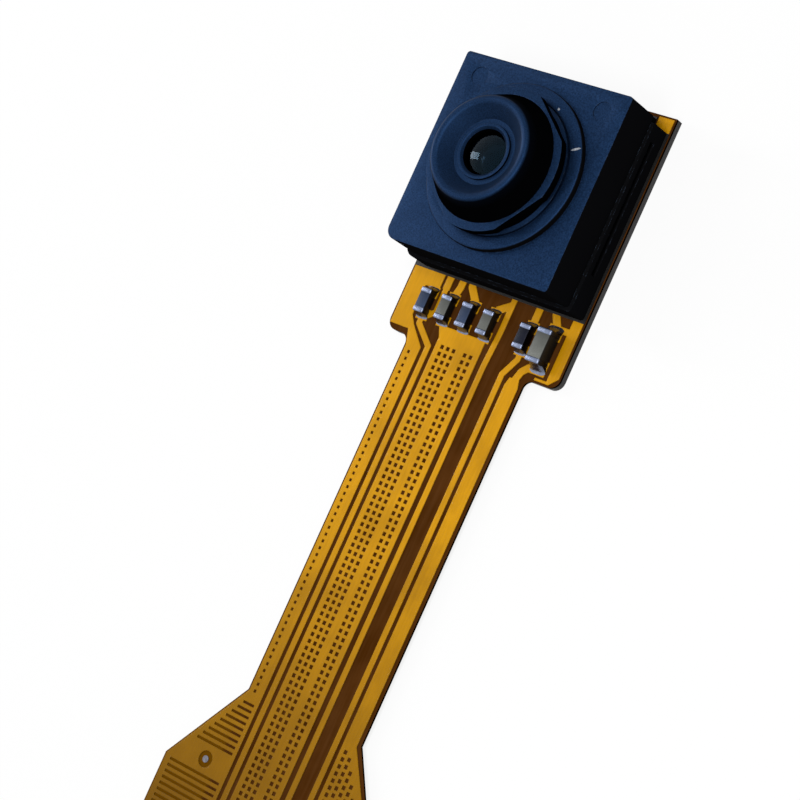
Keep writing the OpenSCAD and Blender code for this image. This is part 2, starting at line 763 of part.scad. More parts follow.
function sphere_r(half, sag) = (half * half + sag * sag) / (2 * sag);

// Solid cap of glass on a round base at z = 0
module dome(d, sag) {
    r = sphere_r(d / 2, sag);
    intersection() {
        translate([0, 0, sag - r]) sphere(r = r);
        translate([0, 0, -eps]) cylinder(d = d, h = sag + 2 * eps);
    }
}

module front_lens() {
    color("#31506a", 0.6) translate([0, 0, eye_z]) {
        translate([0, 0, -front_lens_t]) cylinder(d = lens_d, h = front_lens_t);
        translate([0, 0, -eps]) cylinder(d = eye_d - 2 * lens_gap, h = front_lens_rise + eps);
        translate([0, 0, front_lens_rise]) dome(eye_d - 2 * lens_gap, front_lens_bulge);
    }
}

// Ring with the bore's fit, such as a stop or a spacer
module ring(z, t, inner_d) {
    translate([0, 0, z]) difference() {
        cylinder(d = lens_d, h = t);
        translate([0, 0, -eps]) cylinder(d = inner_d, h = t + 2 * eps);
    }
}

module aperture_stop() { color("black") ring(stop_z, stop_t, stop_d); }

// Lens with a shallow hollow in its underside and, where asked, in its top
module hollow_lens(z, t, both_sides) {
    color("lightcyan", 0.5) translate([0, 0, z]) difference() {
        cylinder(d = lens_d, h = t);
        dome(spacer_d, hollow_depth);
        if (both_sides) translate([0, 0, t]) mirror([0, 0, 1]) dome(stop_d, hollow_depth);
    }
}

module middle_lens() { hollow_lens(middle_z, middle_lens_t, true); }
module lens_spacer() { color("black") ring(spacer_z, spacer_t, spacer_d); }
module rear_lens() { hollow_lens(rear_z, rear_lens_t, false); }
module lens_retainer() { color("black") ring(retainer_z, retainer_t, retainer_d); }

// Two dabs of adhesive on the collar that lock the thread
module focus_lock_adhesive() {
    dab_d = 0.3;
    color("whitesmoke") difference() {
        for (dab = [[64, 0.1], [27, 0.3]])
            rotate(dab[0]) translate([thread_d / 2 + dab_d / 2 - 0.02, 0, collar_z]) {
                sphere(d = dab_d);
                rotate([0, 90, 0]) cylinder(d = dab_d, h = dab[1]);
                translate([dab[1], 0, 0]) sphere(d = dab_d);
            }
        cylinder(d = thread_d, h = flange_top_z);
        translate([0, 0, -skirt_w + collar_z]) cube(2 * skirt_w, center = true);
    }
}

head_stiffener();
tail_stiffener();
polyimide_film();
edge_ground_copper();
signal_traces();
hatched_ground_copper();
power_copper();
head_leads();
contact_fingers();
via_pads();
test_pad();
capacitor_1();
capacitor_2();
capacitor_3();
capacitor_4();
ferrite_bead();
bulk_capacitor();
chip_end_caps();
solder_fillets();
holder_adhesive();
lens_holder();
infrared_filter();
sensor_solder_balls();
sensor_die();
sensor_dam();
sensor_cover_glass();
lens_barrel();
front_lens();
aperture_stop();
middle_lens();
lens_spacer();
rear_lens();
lens_retainer();
focus_lock_adhesive();
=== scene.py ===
"""Miniature camera module: a lens barrel in a square holder on the head of a flexible circuit.

Laid out as an add-on and run as a script. Lengths are in millimetres, and MM turns them into metres.
"""

import json
import math

import bmesh
import bpy
from bpy.props import FloatProperty, FloatVectorProperty, IntProperty, PointerProperty
from mathutils import Euler, Matrix, Vector


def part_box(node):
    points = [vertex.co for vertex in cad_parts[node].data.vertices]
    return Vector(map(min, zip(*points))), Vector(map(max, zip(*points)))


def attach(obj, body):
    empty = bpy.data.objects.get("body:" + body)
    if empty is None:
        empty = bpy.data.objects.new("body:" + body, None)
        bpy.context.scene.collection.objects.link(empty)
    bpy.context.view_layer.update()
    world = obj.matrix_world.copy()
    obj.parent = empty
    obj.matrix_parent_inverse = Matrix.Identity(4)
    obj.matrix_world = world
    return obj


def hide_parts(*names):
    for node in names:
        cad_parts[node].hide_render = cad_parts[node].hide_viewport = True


bl_info = {
    "name": "Camera Module",
    "version": (1, 0, 0),
    "blender": (4, 5, 0),
    "location": "3D View > Sidebar > Camera Module",
    "description": "Builds the visible pieces of a miniature camera module round its frame",
    "category": "Object",
}

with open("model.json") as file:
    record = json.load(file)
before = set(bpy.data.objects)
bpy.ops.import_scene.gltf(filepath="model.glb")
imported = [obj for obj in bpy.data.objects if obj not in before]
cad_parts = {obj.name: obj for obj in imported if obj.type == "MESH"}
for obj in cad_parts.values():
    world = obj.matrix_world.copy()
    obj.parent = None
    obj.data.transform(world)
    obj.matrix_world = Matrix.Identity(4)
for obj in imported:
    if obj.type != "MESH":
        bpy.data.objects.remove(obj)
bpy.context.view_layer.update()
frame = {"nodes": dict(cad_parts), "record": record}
MM = 0.001
SMOOTH_ANGLE = math.radians(38)
FLARE_FILM = (0.12, 0.048, 0.001)  # colour of the film on the left of the flare, which has copper behind it
CHIPS = ("capacitor_1", "capacitor_2", "capacitor_3", "capacitor_4", "ferrite_bead", "bulk_capacitor")


def box_mm(node):
    """Lowest and highest corner of a CAD node, in millimetres."""
    low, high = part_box(node)
    return low / MM, high / MM


# ---------- settings ----------


def length(name, description, default, low=0.0, high=50.0):
    """A length in millimetres."""
    return FloatProperty(name=name, description=description, default=default, min=low, max=high, precision=3)


def tint(name, description, default):
    """A linear colour."""
    return FloatVectorProperty(
        name=name, description=description, default=default, size=3, subtype="COLOR", min=0.0, max=1.0
    )


def share(name, description, default):
    """A number from 0 to 1."""
    return FloatProperty(
        name=name, description=description, default=default, min=0.0, max=1.0, subtype="FACTOR"
    )


def power(name, description, default):
    """A lamp's power in watts."""
    return FloatProperty(name=name, description=description, default=default, min=0.0, max=20.0)


class CircuitSettings(bpy.types.PropertyGroup):
    """Finishes of the film, the copper and the stiffeners."""

    film_colour: tint("Film", "Bare polyimide film", (0.072, 0.026, 0.006))
    groove_colour: tint("Grooves", "Film in the gaps between traces", (0.055, 0.017, 0.002))
    copper_colour: tint("Copper", "Copper seen through the amber cover film", (0.62, 0.29, 0.002))
    # Also used as painted shade toward the tail and along the copper's edges.
    copper_shade: tint("Copper shade", "Darker patches of the covered copper", (0.13, 0.056, 0.0004))
    gold_colour: tint("Gold", "Plated contact fingers", (0.90, 0.62, 0.22))
    stiffener_colour: tint("Stiffener", "Dark laminate under the head and tail", (0.012, 0.011, 0.011))
    copper_edge_r: length("Copper edge", "Rounding of the covered copper's edges", 0.07, 0.0, 0.1)


class HolderSettings(bpy.types.PropertyGroup):
    """Sizes and finish of the lens holder."""

    face_edge_r: length("Face edge", "Rounding of the front face's edges", 0.07, 0.0, 0.2)
    skirt_edge_r: length("Skirt edge", "Rounding of the skirt's top edge", 0.05, 0.0, 0.1)
    collar_edge_r: length("Collar edge", "Rounding of the collar's edges", 0.07, 0.0, 0.2)
    # Painted sheen: the blue front colour stands in for light reflected by black plastic, set against the
    # near black walls.
    face_colour: tint("Front", "Frosted surfaces that face the subject", (0.0092, 0.0250, 0.0660))
    wall_colour: tint("Walls", "Side walls", (0.0045, 0.0046, 0.0055))
    # Painted highlight: a lighter blue laid in patches along the edges of surfaces that face the subject.
    edge_glint_colour: tint("Worn edge", "Rubbed edges", (0.060, 0.085, 0.130))


class BarrelSettings(bpy.types.PropertyGroup):
    """Sizes and finish of the lens barrel."""

    turn_steps: IntProperty(
        name="Steps", description="Faces round a turned part", default=192, min=24, max=512
    )
    thread_root: length("Thread root", "Radius of the barrel between the turns of the thread", 2.86, 2.5, 3.0)
    thread_pitch: length("Thread pitch", "Pitch of the focusing thread", 0.35, 0.1, 1.0)
    flange_flat: length("Wrench flat", "Distance of a wrench flat from the axis", 2.87, 2.7, 3.2)
    nose_base_r: length("Nose base", "Radius of the nose at the flange", 2.75, 2.0, 3.0)
    rim_outer_r: length("Rim outside", "Outer radius of the front rim", 2.23, 1.5, 3.0)
    rim_inner_r: length("Rim inside", "Inner radius of the front rim", 1.98, 1.2, 2.8)
    rim_edge_r: length("Rim edge", "Rounding of the front rim", 0.11, 0.0, 0.2)
    funnel_floor_r: length("Funnel floor", "Radius of the funnel's floor", 1.40, 1.0, 2.0)
    eye_ring_r: length("Eye ring", "Outer radius of the raised ring round the front lens", 1.20, 1.0, 1.5)
    eye_r: length("Eye", "Radius of the opening over the front lens", 0.975, 0.5, 1.2)
    bore_r: length("Bore", "Radius of the bore behind the front wall", 2.1, 1.5, 2.5)
    # Painted sheen: the blue front colour stands in for light reflected by black plastic, set against the
    # near black walls.
    top_colour: tint("Front", "Surfaces that face the subject", (0.0088, 0.0240, 0.0630))
    wall_colour: tint("Walls", "Walls of the barrel", (0.0008, 0.0009, 0.0012))


class LensSettings(bpy.types.PropertyGroup):
    """Shape and tint of the lenses."""

    hollow_r: length("Hollow", "Radius of the hollow behind the front lens", 1.15, 0.5, 1.8)
    hollow_depth: length("Hollow depth", "Depth of the hollow behind the front lens", 0.38, 0.05, 0.45)
    glass_colour: tint("Glass", "Tint of the lens glass", (0.08, 0.12, 0.16))


class ChipSettings(bpy.types.PropertyGroup):
    """Sizes and finishes of the chip components and their solder."""

    body_edge_r: length("Body edge", "Rounding of a chip's ceramic body", 0.035, 0.0, 0.1)
    cap_edge_r: length("Cap edge", "Rounding of a chip's tinned ends", 0.06, 0.0, 0.15)
    cap_length: length("Cap length", "Length of a chip's tinned end", 0.24, 0.1, 0.4)
    solder_rise: share("Solder height", "How far the solder climbs a chip's end", 0.75)
    small_reach: length("Small fillet", "Reach of the solder beyond a small chip's end", 0.17, 0.0, 0.3)
    large_reach: length("Large fillet", "Reach of the solder beyond the large one's end", 0.31, 0.0, 0.4)
    blue_colour: tint("Blue ceramic", "First and third capacitors", (0.032, 0.050, 0.098))
    tan_colour: tint("Tan ceramic", "Second, fourth and large capacitors", (0.125, 0.13, 0.12))
    ferrite_colour: tint("Ferrite", "Body of the bead", (0.006, 0.008, 0.018))
    tin_colour: tint("Tin", "Tinned ends", (0.22, 0.26, 0.38))
    solder_colour: tint("Solder", "Solder fillets", (0.26, 0.30, 0.42))


class StageSettings(bpy.types.PropertyGroup):
    """Camera, lamps and floor."""

    camera_place: FloatVectorProperty(
        name="Camera place",
        description="Place of the camera, in millimetres",
        default=(58.9366, -16.2941, 84.4273),
        size=3,
    )
    camera_turn: FloatVectorProperty(
        name="Camera turn",
        description="Turn of the camera, in degrees",
        default=(19.5600, 31.1361, 28.7014),
        size=3,
    )
    camera_lens: FloatProperty(
        name="Lens", description="Focal length, in millimetres", default=112.5, min=20, max=400
    )
    key_power: power("Key", "Power of the lamp above the head, in watts", 0.30)
    glare_power: power("Glare", "Power of the upright panel on the left, in watts", 0.07)
    sky_level: share("Sky", "Level of the light from all round", 0.34)
    floor_colour: tint("Floor", "Colour of the floor", (0.92, 0.92, 0.92))


SETTINGS = {
    "camera_module_circuit": CircuitSettings,
    "camera_module_holder": HolderSettings,
    "camera_module_barrel": BarrelSettings,
    "camera_module_lenses": LensSettings,
    "camera_module_chips": ChipSettings,
    "camera_module_stage": StageSettings,
}


# ---------- materials ----------


class Finish:
    """A material under construction, whose patterns read object coordinates in millimetres."""

    def __init__(self, name):
        self.material = bpy.data.materials.new(name)
        self.material.use_nodes = True
        self.nodes = self.material.node_tree.nodes
        self.links = self.material.node_tree.links
        self.nodes.clear()
        place = self.add("TexCoord").outputs["Object"]
        scaled = self.add("VectorMath", {0: place, 1: (1 / MM,) * 3}, operation="MULTIPLY")
        self.place = scaled.outputs[0]

    def add(self, kind, inputs=None, **settings):
        """A node of the kind, with its settings, and with values or links for its inputs."""
        node = self.nodes.new("ShaderNode" + kind)
        for key, value in settings.items():
            setattr(node, key, value)
        for key, value in (inputs or {}).items():
            socket = node.inputs[key]
            if isinstance(value, bpy.types.NodeSocket):
                self.links.new(value, socket)
            elif socket.type == "RGBA" and len(value) == 3:
                socket.default_value = (*value, 1.0)
            else:
                socket.default_value = value
        return node

    def noise(self, per_mm, detail=3.0, stretch=None):
        """Noise with the given number of patches in a millimetre."""
        place = self.place
        if stretch:
            place = self.add("VectorMath", {0: place, 1: stretch}, operation="MULTIPLY").outputs[0]
        return self.add("TexNoise", {"Vector": place, "Scale": per_mm, "Detail": detail}).outputs[0]

    def remap(self, value, low, high, to_low=0.0, to_high=1.0):
        """The value's range from low to high, spread over another range and clamped."""
        inputs = {"Value": value, "From Min": low, "From Max": high, "To Min": to_low, "To Max": to_high}
        return self.add("MapRange", inputs).outputs[0]

    def combine(self, operation, one, two):
        return self.add("Math", {0: one, 1: two}, operation=operation).outputs[0]

    def blend(self, factor, one, two):
        """Colour one where the factor is 0, and colour two where it is 1."""
        return self.add("Mix", {0: factor, 6: one, 7: two}, data_type="RGBA").outputs[2]

    def upward(self, low=0.2, high=0.9):
        """1 on surfaces that face the subject, and 0 on walls."""
        normal = self.add("NewGeometry").outputs["Normal"]
        height = self.add("SeparateXYZ", {0: normal}).outputs["Z"]
        return self.remap(height, low, high)

    def along(self, axis, low, high, to_low=0.0, to_high=1.0):
        """A number that grows along an axis of the module, from one place to another in millimetres."""
        place = self.add("SeparateXYZ", {0: self.place}).outputs[axis]
        return self.remap(place, low, high, to_low, to_high)

    def rounded(self, radius):
        """Normals that round the edges over a radius."""
        return self.add("Bevel", {"Radius": radius * MM}, samples=4).outputs[0]

    def edges(self, radius):
        """1 along the edges, and 0 away from them."""
        normal = self.add("NewGeometry").outputs["Normal"]
        likeness = self.add("VectorMath", {0: self.rounded(radius), 1: normal}, operation="DOT_PRODUCT")
        return self.remap(likeness.outputs["Value"], 0.97, 0.80)

    def bump(self, height, depth, normal=None):
        """A bump of the given depth in millimetres."""
        inputs = {"Height": height, "Distance": depth * MM, "Strength": 1.0}
        if normal:
            inputs["Normal"] = normal
        return self.add("Bump", inputs).outputs[0]

    def surface(self, colour, **inputs):
        """Ends the material with a principled surface. Names of inputs have underscores for spaces."""
        named = {key.replace("_", " "): value for key, value in inputs.items()}
        named = {key.replace("Ior", "IOR"): value for key, value in named.items()}
        shader = self.add("BsdfPrincipled", {"Base Color": colour, **named})
        output = self.add("OutputMaterial")
        self.links.new(shader.outputs[0], output.inputs["Surface"])
        return self.material


def moulded_plastic(name, front, wall, edge_glint, grain, grain_depth):
    """Satin moulded plastic with fine grain, glossier and with a painted blue sheen where it faces the
    subject high on the module, near black elsewhere, and with painted highlights along its edges.
    """
    finish = Finish(name)
    fine = finish.noise(grain, 5.0)
    broad = finish.noise(1.1, 2.0)
    specks = finish.remap(fine, 0.36, 0.66)
    mottled = finish.blend(specks, [0.66 * c for c in front], [1.36 * c for c in front])
    clouded = finish.blend(finish.remap(broad, 0.35, 0.7, 0.0, 0.35), mottled, [0.72 * c for c in front])
    # Painted sheen: surfaces that face the subject, from 2.2 mm up, take the lighter blue front colour and
    # more gloss; walls and lower surfaces keep the dark wall colour.
    top_sheen_mask = finish.combine("MULTIPLY", finish.upward(0.45, 0.92), finish.along("Z", 2.2, 3.3))
    colour = finish.blend(top_sheen_mask, wall, clouded)
    # Painted highlights: patches along the edges of upward surfaces take the lighter edge colour.
    patches = finish.remap(finish.noise(4.0, 4.0), 0.5, 0.68, 0.0, 0.8)
    painted_edge_glint = finish.combine("MULTIPLY", finish.edges(0.05), patches)
    painted_edge_glint = finish.combine("MULTIPLY", painted_edge_glint, finish.upward(0.0, 0.3))
    colour = finish.blend(painted_edge_glint, colour, edge_glint)
    return finish.surface(
        colour,
        Metallic=finish.combine("MULTIPLY", top_sheen_mask, 0.7),
        Roughness=finish.remap(fine, 0.3, 0.7, 0.42, 0.54),
        Specular_Ior_Level=0.0,
        Normal=finish.bump(fine, grain_depth),
    )


def film_finish(name, colour, groove):
    """Satin amber film with faint lengthwise drawing lines, paler on the left of the flare, and with painted
    shade that darkens its edge walls.
    """
    finish = Finish(name)
    drawn = finish.noise(6.0, 3.0, (1.0, 0.06, 1.0))
    clouds = finish.noise(0.6, 3.0)
    base = finish.blend(finish.remap(drawn, 0.35, 0.7), groove, colour)
    base = finish.blend(finish.remap(clouds, 0.4, 0.7, 0.0, 0.4), base, [1.5 * c for c in colour])
    flare = finish.combine("MULTIPLY", finish.along("X", -3.1, -3.3), finish.along("Y", -24.0, -26.0))
    flare = finish.combine("MULTIPLY", flare, finish.along("Y", -31.4, -31.2))
    base = finish.blend(flare, base, FLARE_FILM)
    # Painted shade: walls of the film take 8% of the groove colour.
    base = finish.blend(finish.upward(0.2, 0.8), [0.08 * c for c in groove], base)
    return finish.surface(
        base,
        Roughness=0.35,
        Specular_Ior_Level=0.0,
        Normal=finish.bump(drawn, 0.002),
    )


def copper_finish(name, colour, shade, edge_r):
    """Satin copper under a clear amber cover film, with draped edges, and with painted shade that darkens it
    toward the tail and along its edges.
    """
    finish = Finish(name)
    rolled = finish.noise(9.0, 3.0, (1.0, 0.10, 1.0))
    clouds = finish.noise(0.45, 3.0)
    base = finish.blend(finish.remap(rolled, 0.35, 0.68), [0.9 * c for c in colour], colour)
    base = finish.blend(finish.remap(clouds, 0.42, 0.68, 0.0, 0.30), base, shade)
    # Painted shade: the copper darkens toward the tail, from y -14 to -31 mm.
    base = finish.blend(finish.along("Y", -14.0, -31.0, 0.0, 1.0), base, shade)
    # Painted shade along the edges of the copper.
    base = finish.blend(finish.combine("MULTIPLY", finish.edges(0.03), 0.5), base, [0.4 * c for c in shade])
    return finish.surface(
        base,
        Metallic=0.1,
        Roughness=finish.remap(rolled, 0.3, 0.7, 0.40, 0.50),
        Specular_Ior_Level=0.05,
        Coat_Weight=0.12,
        Coat_Roughness=0.15,
        Coat_Ior=1.5,
        Normal=finish.bump(rolled, 0.0012, finish.rounded(edge_r)),
        Coat_Normal=finish.bump(rolled, 0.0006, finish.rounded(0.13)),
    )


def metal_finish(name, colour, roughness, waviness, per_mm, wall=1.0):
    """Bright metal with a wavy, slightly stained skin, whose walls keep only a share of its colour as painted
    shade.
    """
    finish = Finish(name)
    waves = finish.noise(per_mm, 3.0)
    base = finish.blend(finish.remap(waves, 0.35, 0.7), [0.72 * c for c in colour], colour)
    # Painted shade: walls keep only the given share of the colour.
    base = finish.blend(finish.upward(0.1, 0.75), [wall * c for c in colour], base)
    return finish.surface(
        base,
        Metallic=0.9,
        Roughness=finish.remap(waves, 0.3, 0.7, roughness, roughness + 0.15),
        Normal=finish.bump(waves, waviness),
    )


def ceramic_finish(name, colour):
    """Semi-gloss fired ceramic with fine pores, painted paler toward its lower end as painted light, lighter
    along its edges, and with painted shade that darkens its walls.
    """
    finish = Finish(name)
    pores = finish.noise(28.0, 4.0)
    clouds = finish.noise(3.0, 2.0)
    # Painted light: the body grows paler from y -5.5 to -6.4 mm.
    base = finish.blend(finish.along("Y", -5.5, -6.4), [0.65 * c for c in colour], [1.6 * c for c in colour])
    base = finish.blend(finish.remap(pores, 0.4, 0.7, 0.0, 0.5), base, [0.7 * c for c in colour])
    base = finish.blend(finish.remap(clouds, 0.35, 0.7, 0.0, 0.4), base, [0.7 * c for c in colour])
    # Lighter along the edges.
    paler_edges = finish.combine("MULTIPLY", finish.edges(0.03), 0.5)
    base = finish.blend(paler_edges, base, [min(1.0, 1.9 * c) for c in colour])
    # Painted shade: walls take 6% of the colour.
    base = finish.blend(finish.upward(0.2, 0.8), [0.06 * c for c in colour], base)
    return finish.surface(base, Roughness=0.36, Specular_Ior_Level=0.12, Normal=finish.bump(pores, 0.0015))


def dull_finish(name, colour, per_mm, roughness):
    """Plain dull surface with a fine grain, for laminate, adhesive and shims."""
    finish = Finish(name)
    grain = finish.noise(per_mm, 4.0)
    base = finish.blend(finish.remap(grain, 0.35, 0.7), [0.7 * c for c in colour], [1.4 * c for c in colour])
    return finish.surface(base, Roughness=roughness, Specular_Ior_Level=0.3, Normal=finish.bump(grain, 0.003))


def glass_finish(name, colour, ior, sheen=(1.0, 1.0, 1.0)):
    """Polished glass, whose coating colours its reflections, with the faintest polishing haze."""
    finish = Finish(name)
    haze = finish.noise(2.0, 2.0)
    base = finish.blend(finish.remap(haze, 0.3, 0.7), [0.97 * c for c in colour], colour)
    return finish.surface(
        base,
        Roughness=0.0,
        Ior=ior,
        Specular_Tint=(*sheen, 1.0),
        Transmission_Weight=1.0,
    )


def silicon_finish(name):
    """Polished die with the fine grid of its pixels."""
    finish = Finish(name)
    pattern = {
        "Vector": finish.place,
        "Color1": (0.012, 0.010, 0.020),
        "Color2": (0.006, 0.012, 0.016),
        "Mortar": (0.002, 0.002, 0.003),
        "Scale": 20.0,
    }
    grid = finish.add("TexBrick", pattern).outputs[0]
    return finish.surface(grid, Metallic=0.1, Roughness=0.5, Specular_Ior_Level=0.1)


def glue_finish(name):
    """Milky cured glue."""
    finish = Finish(name)
    clouds = finish.noise(12.0, 3.0)
    base = finish.blend(finish.remap(clouds, 0.35, 0.7), (0.20, 0.23, 0.28), (0.55, 0.58, 0.64))
    return finish.surface(base, Roughness=0.25, Transmission_Weight=0.25, Normal=finish.bump(clouds, 0.004))


# ---------- mesh helpers ----------


def merged_copy(node):
    """A CAD node's mesh with its loose triangles joined and its flat faces whole."""
    mesh = bmesh.new()
    mesh.from_mesh(frame["nodes"][node].data)
    bmesh.ops.remove_doubles(mesh, verts=mesh.verts, dist=1e-4 * MM)
    bmesh.ops.dissolve_limit(
        mesh, angle_limit=math.radians(0.4), use_dissolve_boundaries=False, verts=mesh.verts,
        edges=mesh.edges, delimit=set(),
    )
    return mesh


def round_edges(mesh, radius, chosen=None, segments=3, angle=30.0):
    """Rounds the convex edges sharper than an angle, or those of them that chosen() accepts."""
    edges = [
        e
        for e in mesh.edges
        if len(e.link_faces) == 2
        and e.calc_face_angle_signed() > math.radians(angle)
        and (chosen is None or chosen(e))
    ]
    bmesh.ops.bevel(
        mesh, geom=edges, offset=radius * MM, offset_type="OFFSET", affect="EDGES", segments=segments,
        profile=0.5, material=-1, clamp_overlap=True,
    )


def turned(mesh, outline, steps):
    """Turns a closed outline of (radius, height) points about the optical axis."""
    verts = [mesh.verts.new((r * MM, 0.0, z * MM)) for r, z in outline]
    edges = [mesh.edges.new((verts[i - 1], verts[i])) for i in range(len(verts))]
    bmesh.ops.spin(
        mesh, geom=verts + edges, cent=(0, 0, 0), axis=(0, 0, 1), dvec=(0, 0, 0), angle=math.tau,
        steps=steps, use_merge=True, use_duplicate=False,
    )
    bmesh.ops.remove_doubles(mesh, verts=mesh.verts, dist=1e-4 * MM)
    bmesh.ops.recalc_face_normals(mesh, faces=mesh.faces)


def block(mesh, low, high, radius, segments=3):
    """A rounded block between two corners."""
    size = [(b - a) * MM for a, b in zip(low, high)]
    middle = [(a + b) / 2 * MM for a, b in zip(low, high)]
    matrix = Matrix.Translation(middle) @ Matrix.Diagonal((*size, 1.0))
    made = bmesh.ops.create_cube(mesh, size=1.0, matrix=matrix)
    edges = {e for v in made["verts"] for e in v.link_edges}
    bmesh.ops.bevel(
        mesh, geom=list(edges), offset=radius * MM, offset_type="OFFSET", affect="EDGES", segments=segments,
        profile=0.5, material=-1, clamp_overlap=True,
    )


def make_piece(name, mesh, surface, stands_for=()):
    """Ends a mesh as a shown piece that rides on the module and stands for CAD nodes."""
    data = bpy.data.meshes.new(name)
    mesh.to_mesh(data)
    mesh.free()
    if "custom_normal" in data.attributes:
        data.attributes.remove(data.attributes["custom_normal"])
    data.materials.clear()
    data.materials.append(surface)
    data.shade_smooth()
    data.set_sharp_from_angle(angle=SMOOTH_ANGLE)
    piece = bpy.data.objects.new(name, data)
    bpy.context.scene.collection.objects.link(piece)
    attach(piece, "root")
    if stands_for:
        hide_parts(*stands_for)
    return piece


def dress(surface, *nodes):
    """Gives CAD nodes a material."""
    for node in nodes:
        data = frame["nodes"][node].data
        data.materials.clear()
        data.materials.append(surface)


# ---------- pieces ----------


class DressCircuit(bpy.types.Operator):
    """Gives the film, the copper, the contacts and the stiffeners their finishes"""

    bl_idname = "camera_module.dress_circuit"
    bl_label = "Dress circuit"

    def execute(self, context):
        s = context.scene.camera_module_circuit
        dress(film_finish("amber_film", s.film_colour, s.groove_colour), "polyimide_film")
        copper = copper_finish("covered_copper", s.copper_colour, s.copper_shade, s.copper_edge_r)
        dress(copper, "edge_ground_copper", "signal_traces", "hatched_ground_copper", "power_copper")
        dress(copper, "head_leads", "via_pads")
        dress(metal_finish("contact_gold", s.gold_colour, 0.2, 0.001, 6.0), "contact_fingers")
        dress(metal_finish("test_pad_solder", (0.22, 0.22, 0.26), 0.25, 0.004, 8.0), "test_pad")
        dress(dull_finish("dark_laminate", s.stiffener_colour, 9.0, 0.5), "head_stiffener", "tail_stiffener")
        return {"FINISHED"}


class MakeHolder(bpy.types.Operator):
    """Makes the lens holder, with rounded edges, and its adhesive"""

    bl_idname = "camera_module.make_holder"
    bl_label = "Make holder"

    def execute(self, context):
        s = context.scene.camera_module_holder
        low, high = box_mm("lens_holder")
        face_z = frame["record"]["mounts"][1]["pos_m"][2] / MM
        skirt_top = low.z + 1.15
        outside_collar = 4.2
        outside_face = 4.3
        mesh = merged_copy("lens_holder")

        def at(e, z):
            return all(abs(v.co.z / MM - z) < 1e-3 for v in e.verts)

        def away(e, r):
            return all(v.co.xy.length / MM > r for v in e.verts)

        round_edges(mesh, s.face_edge_r, lambda e: at(e, face_z) and away(e, outside_collar))
        round_edges(mesh, s.collar_edge_r, lambda e: at(e, high.z))
        round_edges(mesh, s.skirt_edge_r, lambda e: at(e, skirt_top) and away(e, outside_face))
        # The holder's plastic gets the painted sheen on its front and painted highlights on its edges.
        surface = moulded_plastic(
            "holder_plastic_painted_sheen", s.face_colour, s.wall_colour, s.edge_glint_colour, 16.0, 0.004
        )
        make_piece("holder_shell", mesh, surface, ["lens_holder"])
        adhesive = dull_finish("black_adhesive", (0.006, 0.006, 0.006), 12.0, 0.45)
        dress(adhesive, "holder_adhesive", "sensor_dam")
        return {"FINISHED"}


class MakeBarrel(bpy.types.Operator):
    """Makes the lens barrel with its funnel, wrench flats and focusing thread"""

    bl_idname = "camera_module.make_barrel"
    bl_label = "Make barrel"

    def execute(self, context):
        s = context.scene.camera_module_barrel
        low, high = box_mm("lens_barrel")
        flange_r = 3.1
        flange_z, flange_top = 4.22, 4.62
        chamfer = 0.08
        funnel_z = high.z - 0.5
        ring_z = funnel_z + 0.1
        eye_chamfer = 0.1
        eye_z = box_mm("front_lens")[1].z - 0.4
        outline = [
            (s.bore_r, low.z), (s.thread_root - chamfer, low.z), (s.thread_root, low.z + chamfer),
            (s.thread_root, flange_z), (flange_r, flange_z), (flange_r, flange_top),
            (s.nose_base_r, flange_top), (s.rim_outer_r, high.z), (s.rim_inner_r, high.z),
            (s.funnel_floor_r, funnel_z), (s.eye_ring_r, funnel_z), (s.eye_ring_r, ring_z),
            (s.eye_r + eye_chamfer, ring_z), (s.eye_r, funnel_z), (s.eye_r, eye_z), (s.bore_r, eye_z),
        ]
        mesh = bmesh.new()
        turned(mesh, outline, s.turn_steps)
        flat_turn = 51
        for quarter in range(4):
            angle = math.radians(flat_turn + 90 * quarter)
            outward = Vector((math.cos(angle), math.sin(angle), 0.0))
            for v in mesh.verts:
                beyond = v.co.dot(outward) - s.flange_flat * MM
                if beyond > 0:
                    v.co -= beyond * outward

        def at(e, r, z):
            return all(v.co.xy.length / MM > r and abs(v.co.z / MM - z) < 1e-3 for v in e.verts)

        flange_edge_r, ring_edge_r = 0.05, 0.025
        nose_r, ring_inside, rim_inside = 2.8, 1.0, 1.5
        round_edges(mesh, flange_edge_r, lambda e: at(e, nose_r, flange_top) or at(e, nose_r, flange_z))
        round_edges(mesh, s.rim_edge_r, lambda e: at(e, rim_inside, high.z), segments=4)
        round_edges(mesh, ring_edge_r, lambda e: at(e, ring_inside, ring_z) and not at(e, rim_inside, ring_z))
        # Colour of the painted edge highlights; the barrel's plastic also gets the painted sheen of
        # moulded_plastic.
        edge_glint = (0.05, 0.07, 0.11)
        surface = moulded_plastic("satin_barrel_plastic", s.top_colour, s.wall_colour, edge_glint, 22.0, 0.0015)
        make_piece("barrel_shell", mesh, surface, ["lens_barrel"])

        mesh = bmesh.new()
        steps_per_turn = 72
        turns = 4
        start_z = low.z + 0.03
        crest_r, ridge_h, sunk = 3.0, 0.28, 0.03
        ridge = [(s.thread_root - sunk, 0.0), (crest_r, ridge_h / 2), (s.thread_root - sunk, ridge_h)]
        verts = [mesh.verts.new((-r * MM, 0.0, (start_z + z) * MM)) for r, z in ridge]
        edges = [mesh.edges.new((verts[i - 1], verts[i])) for i in range(3)]
        climb = s.thread_pitch * MM / steps_per_turn
        spun = bmesh.ops.spin(
            mesh, geom=verts + edges, cent=(0, 0, 0), axis=(0, 0, 1), dvec=(0, 0, climb),
            angle=math.tau * turns, steps=steps_per_turn * turns, use_merge=False, use_duplicate=False,
        )
        last = [v for v in spun["geom_last"] if isinstance(v, bmesh.types.BMVert)]
        mesh.faces.new(verts)
        mesh.faces.new(last)
        bmesh.ops.recalc_face_normals(mesh, faces=mesh.faces)
        make_piece("barrel_thread", mesh, surface)
        return {"FINISHED"}


